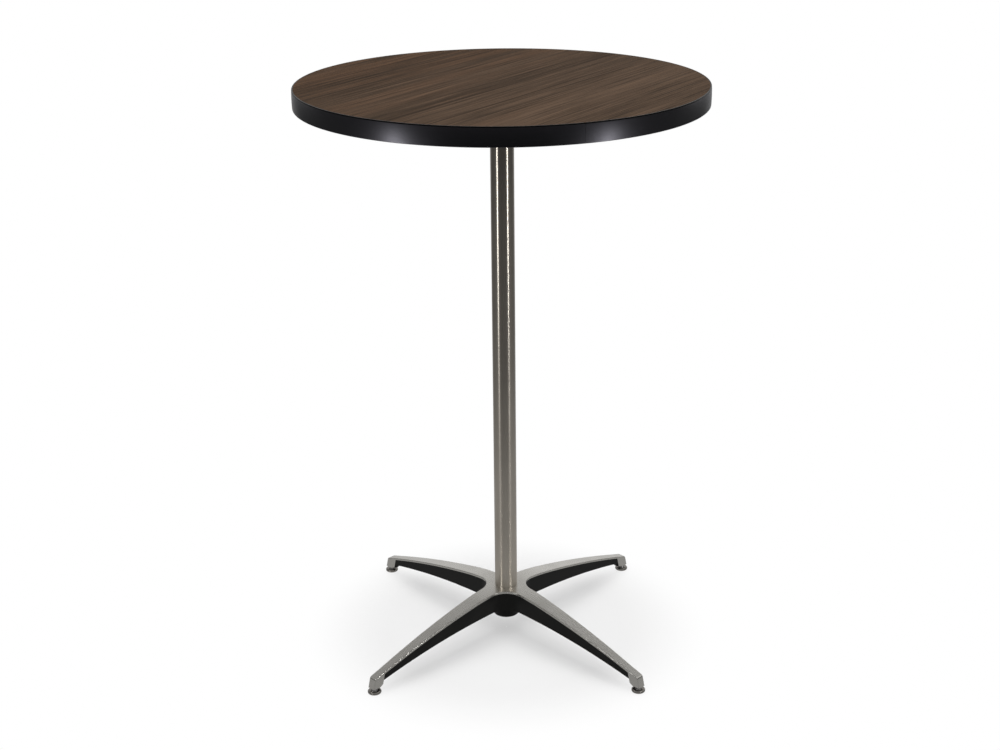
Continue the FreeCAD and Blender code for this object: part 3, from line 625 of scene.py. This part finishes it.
@dataclass(frozen=True)
class SprayedCoat(Finish):
    """Sprayed coat or moulded plastic: an even colour over a fine peel, with dust in its hollows."""

    colour: Colour
    dust: Colour
    roughness: float
    peel_scale: float
    peel_depth: float
    peel_roughness: float = 0.14
    clouds: Ripple = Ripple(40.0, 40.0, 40.0, 4.0)
    hollow_gain: float = -0.3
    dust_span: Span = (0.48, 0.80)
    dust_share: float = 0.6
    dust_roughness: float = 0.10

    def paint(self, graph: Graph) -> None:
        """Vary the coat's colour and gloss a little and raise its peel."""
        x, y, z = graph.place()
        peel = Ripple(self.peel_scale, self.peel_scale, self.peel_scale).over(graph, x, y, z)
        clouds = self.clouds.over(graph, x, y, z)
        dusty = graph.ease(clouds + peel.swing(self.hollow_gain), *self.dust_span)
        graph.finish({
            "Base Color": graph.blend(dusty * self.dust_share, self.colour, self.dust),
            "Roughness": self.roughness + peel.swing(self.peel_roughness) + dusty * self.dust_roughness,
            "Normal": graph.bump(peel, self.peel_depth),
        })


@dataclass(frozen=True)
class ParticleBoard(Finish):
    """Core board of pressed wood chips."""

    chip: Colour = srgb(178, 146, 104)
    glue: Colour = srgb(116, 86, 56)
    fine: Ripple = Ripple(420.0, 420.0, 1050.0, 4.0, 0.7)
    fine_share: float = 0.7
    coarse: Ripple = Ripple(126.0, 126.0, 420.0)
    coarse_share: float = 0.3
    chip_span: Span = (0.36, 0.62)
    roughness: float = 0.82
    chip_roughness: float = 0.15
    relief: float = 0.12 * MM

    def paint(self, graph: Graph) -> None:
        """Lay flat chips of two sizes in a darker binder."""
        x, y, z = graph.place()
        fine, coarse = (ripple.over(graph, x, y, z) for ripple in (self.fine, self.coarse))
        chips = graph.ease(fine * self.fine_share + coarse * self.coarse_share, *self.chip_span)
        graph.finish({
            "Base Color": graph.blend(chips, self.glue, self.chip),
            "Roughness": self.roughness + fine.swing(self.chip_roughness),
            "Normal": graph.bump(fine, self.relief),
        })


def new_piece(name: str, points: np.ndarray, faces: list[list[int]]) -> bpy.types.Object:
    """Put a surface into the scene as a new object at the origin.

    Args:
        name: Name of the object.
        points: One row of x, y and z for each vertex.
        faces: Vertex numbers of each face, counter-clockwise seen from outside.

    Returns:
        The new object.
    """
    mesh = bpy.data.meshes.new(name)
    mesh.from_pydata(points.tolist(), [], faces)
    mesh.update()
    made = bpy.data.objects.new(name, mesh)
    bpy.context.scene.collection.objects.link(made)
    return made


def grid_quads(rows: int, columns: int) -> np.ndarray:
    """Number the faces of a grid that closes round its columns; vertex (i, j) has the number i columns + j.

    Each face, row by row, goes to the next row, to the next column and back.
    """
    row, column = np.meshgrid(np.arange(rows - 1), np.arange(columns), indexing="ij")
    after = (column + 1) % columns
    here, following = row * columns, (row + 1) * columns
    corners = [here + column, following + column, following + after, here + after]
    return np.stack(corners, axis=-1).reshape(-1, 4)


@dataclass
class MeshGrid:
    """A closed surface on a grid of rows by columns, wrapped round its columns and capped at both ends."""

    name: str
    radii: np.ndarray
    heights: np.ndarray
    centre: tuple[float, float]

    def build(self) -> bpy.types.Object:
        """Carry the rows round an upright axis and close them with a point at each end.

        Vertex (i, j) lies at radius r[i, j] and angle 2 pi j / columns round the centre, at height z[i, j].

        Returns:
            The new object, in the scene.
        """
        rows, columns = self.radii.shape
        angle = np.arange(columns) * FULL_TURN / columns
        x = self.centre[0] + self.radii * np.cos(angle)
        y = self.centre[1] + self.radii * np.sin(angle)
        ring_points = np.stack([x, y, self.heights], axis=-1).reshape(-1, 3)
        ends = np.array([[*self.centre, self.heights[0].mean()], [*self.centre, self.heights[-1].mean()]])
        points = np.concatenate([ring_points, ends])
        quads = grid_quads(rows, columns)[:, TURNED_OVER]
        here = np.arange(columns)
        following = (here + 1) % columns
        low, high = rows * columns, rows * columns + 1
        last = (rows - 1) * columns
        bottom = np.stack([np.full(columns, low), following, here], axis=-1)
        top = np.stack([np.full(columns, high), last + here, last + following], axis=-1)
        return new_piece(self.name, points, quads.tolist() + bottom.tolist() + top.tolist())


@dataclass
class EdgeBand:
    """The T-shaped band round the top: a swelling wall with rounded edges, and a tongue; cut at one seam."""

    wall: float = 2.8 * MM
    swell: float = 0.4 * MM
    edge_round: float = 1.3 * MM
    tongue_depth: float = 8.0 * MM
    tongue_half: float = 1.2 * MM
    seam_bearing: float = 291.1
    seam_gap: float = 0.22 * MM
    end_round: float = 1.6 * MM
    sections: int = 720
    arc_steps: int = 8
    wall_rows: int = 9

    def corner(self, radius: float, height: float, start: float) -> np.ndarray:
        """Round one outer edge: a quarter turn of the edge's radius about its centre.

        Args:
            radius: Radius of the arc's centre from the table's axis.
            height: Height of the arc's centre.
            start: Angle where the quarter turn starts.

        Returns:
            Points as radius and height.
        """
        angle = start + np.linspace(0.0, QUARTER_TURN, self.arc_steps + 1)
        across = radius + self.edge_round * np.cos(angle)
        return np.stack([across, height + self.edge_round * np.sin(angle)], axis=-1)

    def profile(self, low: Vector, high: Vector) -> np.ndarray:
        """Draw the band's section from its foot, up the wall and back down over the tongue.

        The wall stands out by its swell times one less the square of the height's share from the middle.

        Args:
            low: Lowest corner of the band's box.
            high: Highest corner of the band's box.

        Returns:
            The closed section's points as radius and height.
        """
        outer, bottom, top = -low.x, low.z, high.z
        inner, bend, middle = outer - self.wall, self.edge_round, (bottom + top) / 2.0
        edge = outer - self.swell
        tip = inner - self.tongue_depth
        share = np.linspace(-1.0, 1.0, self.wall_rows + 2)[1:-1]
        heights = middle + share * (top - bend - middle)
        face = np.stack([edge + self.swell * (1.0 - share ** 2), heights], axis=-1)
        back = [[inner, top], [inner, middle + self.tongue_half], [tip, middle + self.tongue_half],
                [tip, middle - self.tongue_half], [inner, middle - self.tongue_half], [inner, bottom]]
        return np.concatenate([
            self.corner(edge - bend, bottom + bend, -QUARTER_TURN), face,
            self.corner(edge - bend, top - bend, 0.0), np.array(back),
        ])

    def angles(self, outer: float) -> np.ndarray:
        """Spread the sections evenly from one side of the seam to the other, with more at the rounded ends.

        Args:
            outer: Outer radius of the band.

        Returns:
            The sections' angles round the table's axis, in rising order.
        """
        gap = self.seam_gap / outer
        even = math.radians(self.seam_bearing) + np.linspace(gap / 2.0, FULL_TURN - gap / 2.0, self.sections)
        ends = np.linspace(0.0, self.end_round / outer, self.arc_steps + 1)[1:-1]
        return np.sort(np.concatenate([even, even[0] + ends, even[-1] - ends]))

    def build(self) -> bpy.types.Object:
        """Carry the section round the top from one side of the seam to the other, with rounded ends.

        Point (i, j) lies at radius r[j] and angle a[i], at the lower of height z[j] and the end's rounding.

        Returns:
            The band's object, riding on the table.
        """
        low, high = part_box("edge_band")
        section = self.profile(low, high)
        outer = -low.x
        angle = self.angles(outer)
        reach = np.minimum(angle - angle[0], angle[-1] - angle) * outer
        short = np.clip(self.end_round - reach, 0.0, None)
        dip = self.end_round - np.sqrt(self.end_round ** 2 - short ** 2)
        rows, columns = angle.size, section.shape[0]
        x = section[:, 0] * np.cos(angle)[:, None]
        y = section[:, 0] * np.sin(angle)[:, None]
        height = np.minimum(section[:, 1], (high.z - dip)[:, None])
        points = np.stack([x, y, height], axis=-1).reshape(-1, 3)
        quads = grid_quads(rows, columns)
        first = np.arange(columns)
        last = (rows - 1) * columns + first
        made = new_piece("seamed_band", points, quads.tolist() + [first.tolist(), last[::-1].tolist()])
        smooth = np.zeros(len(made.data.polygons), dtype=bool)
        smooth[:quads.shape[0]] = np.tile(first < columns - BACK_CORNERS, rows - 1)
        made.data.polygons.foreach_set("use_smooth", smooth)
        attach(made, "table")
        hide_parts("edge_band")
        return made


def dress(node: str, material: bpy.types.Material) -> None:
    """Give a node of the frame, by its name, the material of its finish."""
    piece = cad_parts[node]
    for slot in piece.material_slots:
        slot.material = material
    LOG.info("%s: %s", node, material.name)


@dataclass
class TableTop:
    """The banded top: laminate, core, backer sheet and edge band."""

    laminate: Finish = WalnutLaminate("walnut_laminate_painted_sheen")
    core: Finish = ParticleBoard("particle_board")
    backer: Finish = SprayedCoat("backer_sheet", colour=srgb(46, 42, 38), dust=srgb(66, 61, 55),
                                 roughness=0.55, peel_scale=1400.0, peel_depth=0.015 * MM)
    band: Finish = BandVinyl("band_vinyl")

    def dress(self) -> None:
        """Put the finishes on the top's boards and band."""
        dress("top_laminate", self.laminate.material())
        dress("top_core", self.core.material())
        dress("backer_sheet", self.backer.material())
        made = EdgeBand().build()
        made.data.materials.append(self.band.material())
        LOG.info("%s: %s", made.name, self.band.name)


@dataclass
class Pillar:
    """The spider with its screws, the column, and the tie rod with its washers and nut."""

    spider: Finish = SprayedCoat("spider_enamel", colour=srgb(20, 20, 20), dust=srgb(42, 41, 40),
                                 roughness=0.42, peel_scale=520.0, peel_depth=0.04 * MM)
    column: Finish = SatinTube("satin_tube")
    hardware: Finish = BrightPlate("zinc_plate", colour=(0.52, 0.53, 0.55, 1.0),
                                   dull=(0.34, 0.34, 0.35, 1.0), roughness=0.30, mottle=0.8)

    def dress(self) -> bpy.types.Material:
        """Put the finishes on the pillar's parts.

        Returns:
            The zinc of the hardware, which the glides' stems share.
        """
        dress("top_spider", self.spider.material())
        dress("column_tube", self.column.material())
        zinc = self.hardware.material()
        for node in ("spider_screws", "tie_rod", "flat_washer", "spring_washer", "rod_nut"):
            dress(node, zinc)
        return zinc


@dataclass
class CrossBase:
    """The four-legged casting and the plug under its hub."""

    casting: Finish = PaintedCasting("painted_casting")
    plug: Finish = SprayedCoat("plug_plastic", colour=srgb(24, 24, 25), dust=srgb(40, 40, 40),
                               roughness=0.5, peel_scale=1600.0, peel_depth=0.02 * MM)

    def dress(self) -> None:
        """Put the finishes on the casting and the plug."""
        dress("base_casting", self.casting.material())
        dress("hub_plug", self.plug.material())


@dataclass
class Glides:
    """Four levelling glides: chromed feet, plastic floor pads, and stems with a cut thread."""

    # Painted shade: the glide chrome's colours are darkened well below real chrome, to stand in for the dark
    # reflections of its surroundings.
    chrome: Finish = BrightPlate("glide_chrome_painted_shade", colour=(0.28, 0.265, 0.245, 1.0),
                                 dull=(0.18, 0.17, 0.155, 1.0), roughness=0.15, mottle=0.4)
    plastic: Finish = SprayedCoat("pad_plastic", colour=srgb(34, 34, 35), dust=srgb(60, 59, 57),
                                  roughness=0.55, peel_scale=1500.0, peel_depth=0.03 * MM)
    shank_radius: float = 3.0 * MM
    thread_depth: float = 0.55 * MM
    thread_pitch: float = 1.0 * MM
    thread_flat_share: float = 0.12
    rows_per_pitch: int = 12
    columns: int = 72
    tip_chamfer: float = 0.8 * MM
    neck_radius: float = 2.4 * MM
    head_radius: float = 5.5 * MM
    head_height: float = 1.6 * MM
    collar_flat: float = 5.5 * MM
    collar_height: float = 1.8 * MM
    collar_corner_share: float = 0.93

    def hexagon(self, angle: np.ndarray) -> np.ndarray:
        """Give a hexagon's radius: the flat's distance over the cosine of the turn from the flat's middle.

        The corners are cut off at a share of the full corner.
        """
        sixth = FULL_TURN / 6.0
        turn = np.mod(angle, sixth) - sixth / 2.0
        corner = self.collar_flat / math.cos(sixth / 2.0) * self.collar_corner_share
        return np.minimum(self.collar_flat / np.cos(turn), corner)

    def thread(self, angle: np.ndarray, height: np.ndarray, bottom: float, top: float) -> np.ndarray:
        """Give a right-hand thread's radius: a clipped triangle wave of height over pitch less the turn.

        The thread runs out at the collar, and the shank's tip is chamfered.

        Args:
            angle: Angles round the axis.
            height: Heights of the rows, as a column.
            bottom: Height where the shank leaves the collar.
            top: Height of the shank's tip.

        Returns:
            The radius at each row and angle.
        """
        phase = np.mod(height / self.thread_pitch - angle / FULL_TURN, 1.0)
        flat = self.thread_flat_share
        wave = np.clip((1.0 - np.abs(2.0 * phase - 1.0) - flat) / (1.0 - 2.0 * flat), 0.0, 1.0)
        run_out = np.clip((height - bottom) / self.thread_pitch, 0.0, 1.0)
        depth = self.thread_depth * (1.0 - wave) * run_out
        chamfer = np.clip(height - (top - self.tip_chamfer), 0.0, None)
        return np.minimum(self.shank_radius - depth, self.shank_radius - chamfer)

    def stem(self, leg: Leg) -> bpy.types.Object:
        """Make one stem from its head's underside up: head, neck, six-sided collar and threaded shank.

        Args:
            leg: The leg that the stem screws into.

        Returns:
            The stem's object, riding on its body.
        """
        node = f"glide_stem_{leg.value}"
        low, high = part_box(node)
        centre = ((low.x + high.x) / 2.0, (low.y + high.y) / 2.0)
        head_top = low.z + self.head_height
        foot_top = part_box(f"glide_foot_{leg.value}")[1].z
        collar_top = foot_top + self.collar_height
        steps = round((high.z - collar_top) / self.thread_pitch * self.rows_per_pitch)
        shank = np.linspace(collar_top, high.z, steps)[:, None]
        angle = np.arange(self.columns) * FULL_TURN / self.columns
        even = np.ones(self.columns)
        head, neck, collar = self.head_radius * even, self.neck_radius * even, self.hexagon(angle)
        thread = self.thread(angle, shank, collar_top, high.z)
        radii = np.vstack([head, head, neck, neck, collar, collar, thread])
        levels = [low.z, head_top, head_top, foot_top, foot_top, collar_top]
        heights = np.vstack([np.array(levels)[:, None] * even, shank * even])
        made = MeshGrid(f"threaded_stem_{leg.value}", radii, heights, centre).build()
        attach(made, f"stem_{leg.value}")
        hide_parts(node)
        return made

    def dress(self, zinc: bpy.types.Material) -> None:
        """Finish the feet and pads, and put a threaded, zinc-plated stem in each."""
        chrome, plastic = self.chrome.material(), self.plastic.material()
        for leg in Leg:
            dress(f"glide_foot_{leg.value}", chrome)
            dress(f"glide_pad_{leg.value}", plastic)
            made = self.stem(leg)
            made.data.materials.append(zinc)
            LOG.info("%s: %s", made.name, zinc.name)


@dataclass
class Studio:
    """Pale floor, a card for reflections, soft light and the camera of the photograph."""

    disc_sides: int = 96
    disc_pinhole: float = 1.0 * MM
    floor_radius: float = 3.2
    floor_colour: Colour = grey(0.61)
    # Painted light: the floor glows white at these shares even beneath the table, more right under the hub
    # than just around it, which lightens the shadow there; further out it fades to plain white.
    fade_middle_share: float = 0.45
    fade_near_share: float = 0.30
    fade_near_span: Span = (0.0, 0.12)
    fade_far_span: Span = (0.22, 0.40)
    card_radius: float = 8.0
    card_height: float = 2.0 * MM
    card_level: float = 0.66
    card_reach: float = 0.52
    card_cap: float = 0.38
    card_side_share: float = 1.55
    card_side_level: float = 0.06
    card_front_turn: Span = (-0.6, -0.9)
    card_back_level: float = 0.42
    card_back_turn: Span = (0.75, 0.95)
    card_back_span: Span = (0.5, 1.2)
    ambient: float = 0.45
    ring_level: float = 1.9
    ring_start: Span = (0.77, 0.81)
    ring_end: Span = (0.95, 0.98)
    front_level: float = 0.11
    bright_level: float = 0.80
    bright_ahead: Span = (0.3, 0.8)
    bright_rise: Span = (0.25, 0.45)
    zenith_level: float = 0.30
    zenith_rise: Span = (0.20, 1.0)
    right_gain: float = 0.3
    fill_size: float = 0.64
    fill_height: float = 0.90
    fill_power: float = 4.7
    strip_bearing: float = 50.0
    strip_distance: float = 1.15
    strip_width: float = 0.03
    strip_foot: float = 0.42
    strip_height: float = 0.43
    strip_power: float = 1.65
    sensor_width: float = 36.0
    lens: float = 58.7883
    eye: tuple[float, float, float] = (0.01491, -2.82153, 1.58904)
    pitch: float = 20.6327
    roll: float = -0.5891
    yaw: float = -0.4583

    def disc(self, name: str, radius: float, height: float) -> bpy.types.Object:
        """Make a level disc of the stage at a height, from a pinhole at its middle out to its radius."""
        angle = np.arange(self.disc_sides) * FULL_TURN / self.disc_sides
        radii = np.array([self.disc_pinhole, radius])
        x = radii[:, None] * np.cos(angle)
        y = radii[:, None] * np.sin(angle)
        points = np.stack([x, y, np.full_like(x, height)], axis=-1).reshape(-1, 3)
        made = new_piece(name, points, grid_quads(radii.size, self.disc_sides).tolist())
        return made

    @staticmethod
    def sight(graph: Graph) -> tuple[Shade, Shade]:
        """Give a mark of the camera's own rays, and one of rays by reflection or through glass."""
        path = graph.add("ShaderNodeLightPath")
        mirrored = graph.highest(graph.out(path, "Is Glossy Ray"), graph.out(path, "Is Transmission Ray"))
        return graph.out(path, "Is Camera Ray"), mirrored

    def make_floor(self) -> None:
        """Lay a pale floor that takes the table's shadow and fades to white further out."""
        floor = self.disc("floor", self.floor_radius, 0.0)
        material, graph = new_material("studio_floor")
        x, y, _ = graph.place()
        radius = graph.from_axis(x, y)
        near = graph.ease(radius, *self.fade_near_span) * (self.fade_near_share - self.fade_middle_share)
        far = graph.ease(radius, *self.fade_far_span) * (1.0 - self.fade_near_share)
        # Painted light under the table: the white glow's share lightens the table's shadow as well as fading
        # the floor out.
        fade = (near + far + self.fade_middle_share) * graph.highest(*self.sight(graph))
        diffuse = graph.out(graph.add("ShaderNodeBsdfDiffuse", None, {"Color": self.floor_colour}))
        graph.end(graph.layer(fade, diffuse, graph.glow(grey(1.0))))
        floor.data.materials.append(material)

    def make_card(self) -> None:
        """Lay a glowing card under the table that only reflections see.

        It is dimmer further out, lighter at the sides and the back than in front, and lightest far behind.
        """
        card = self.disc("reflection_card", self.card_radius, self.card_height)
        card.visible_camera = False
        card.visible_diffuse = False
        card.visible_shadow = False
        material, graph = new_material("reflection_card")
        x, y, _ = graph.place()
        radius = graph.from_axis(x, y)
        behind = graph.ease(y / radius, *self.card_back_turn) * graph.ease(radius, *self.card_back_span)
        aside = 1.0 - graph.ease(y / radius, *self.card_front_turn)
        near = self.card_level / (1.0 + (radius / self.card_reach) ** 2.0)
        near = near * (1.0 + aside * (self.card_side_share - 1.0))
        level = graph.lowest(near, self.card_cap) + aside * self.card_side_level
        graph.end(graph.glow(level + behind * self.card_back_level))
        card.data.materials.append(material)

    def make_world(self) -> None:
        """Light the room: white to the camera, a grey studio in reflections, and soft light otherwise.

        The soft light has a brighter ring high up.
        """
        world = bpy.data.worlds.new("studio")
        world.use_nodes = True
        bpy.context.scene.world = world
        graph = Graph(world.node_tree)
        side, ahead, rise = graph.axes("Generated")
        zenith = (self.zenith_level - self.bright_level) * graph.ease(rise, *self.zenith_rise)
        back = (self.bright_level + zenith) * (1.0 + side * self.right_gain)
        bright = graph.highest(graph.ease(ahead, *self.bright_ahead), graph.ease(rise, *self.bright_rise))
        studio = self.front_level + (back - self.front_level) * bright
        ring = graph.ease(rise, *self.ring_start) * (1.0 - graph.ease(rise, *self.ring_end))
        soft = self.ambient + ring * self.ring_level
        camera, mirrored = self.sight(graph)
        indoors = soft + (studio - soft) * mirrored
        level = indoors + (1.0 - indoors) * camera
        backdrop = graph.out(graph.add("ShaderNodeBackground", None, {"Color": level, "Strength": 1.0}))
        graph.add("ShaderNodeOutputWorld", None, {"Surface": backdrop})

    @staticmethod
    def make_light(name: str, shape: LampShape, spot: Vector, target: Vector, size: Span,
                   power: float) -> bpy.types.Object:
        """Hang one soft panel of light at a spot, facing a target.

        Its size is its width and height, and its power is in watts.
        """
        lamp = bpy.data.lights.new(name, "AREA")
        lamp.shape = shape.value
        lamp.size, lamp.size_y = size
        lamp.energy = power
        made = bpy.data.objects.new(name, lamp)
        made.location = spot
        made.rotation_euler = (target - spot).to_track_quat("-Z", "Y").to_euler()
        made.visible_camera = False
        bpy.context.scene.collection.objects.link(made)
        return made

    def make_lights(self) -> None:
        """Hang a wide fill under the top, for the floor, and stand a strip on each side of the camera."""
        spot = Vector((0.0, 0.0, self.fill_height))
        size = (self.fill_size, self.fill_size)
        fill = self.make_light("fill", LampShape.ROUND, spot, Vector(), size, self.fill_power)
        fill.visible_glossy = False
        bearing = math.radians(self.strip_bearing)
        ahead = -math.cos(bearing) * self.strip_distance
        middle = self.strip_foot + self.strip_height / 2.0
        target = Vector((0.0, 0.0, middle))
        size = (self.strip_width, self.strip_height)
        for side in Side:
            spot = Vector((side.value * math.sin(bearing) * self.strip_distance, ahead, middle))
            name = f"strip_{side.name.lower()}"
            self.make_light(name, LampShape.OBLONG, spot, target, size, self.strip_power)

    def make_camera(self) -> None:
        """Set the camera where the photograph was taken from."""
        pitch, roll, yaw = (math.radians(angle) for angle in (self.pitch, self.roll, self.yaw))
        ahead = Vector((math.sin(yaw) * math.cos(pitch), math.cos(yaw) * math.cos(pitch), -math.sin(pitch)))
        right = Vector((math.cos(yaw), -math.sin(yaw), 0.0))
        up = right.cross(ahead)
        across = right * math.cos(roll) + up * math.sin(roll)
        upright = up * math.cos(roll) - right * math.sin(roll)
        turn = Matrix((across, upright, -ahead)).transposed()
        lens = bpy.data.cameras.new("camera")
        lens.lens = self.lens
        lens.sensor_width = self.sensor_width
        camera = bpy.data.objects.new("camera", lens)
        camera.matrix_world = Matrix.LocRotScale(Vector(self.eye), turn.to_quaternion(), None)
        bpy.context.scene.collection.objects.link(camera)
        bpy.context.scene.camera = camera

    def build(self) -> None:
        """Set up the floor, the card, the world, the lights and the camera."""
        bpy.context.scene.view_settings.view_transform = "Standard"
        self.make_floor()
        self.make_card()
        self.make_world()
        self.make_lights()
        self.make_camera()


def main() -> None:
    """Dress every sub-assembly, then set up the studio."""
    logging.basicConfig(level=logging.INFO, format="%(message)s")
    TableTop().dress()
    zinc = Pillar().dress()
    CrossBase().dress()
    Glides().dress(zinc)
    Studio().build()


if __name__ == "__main__":
    main()
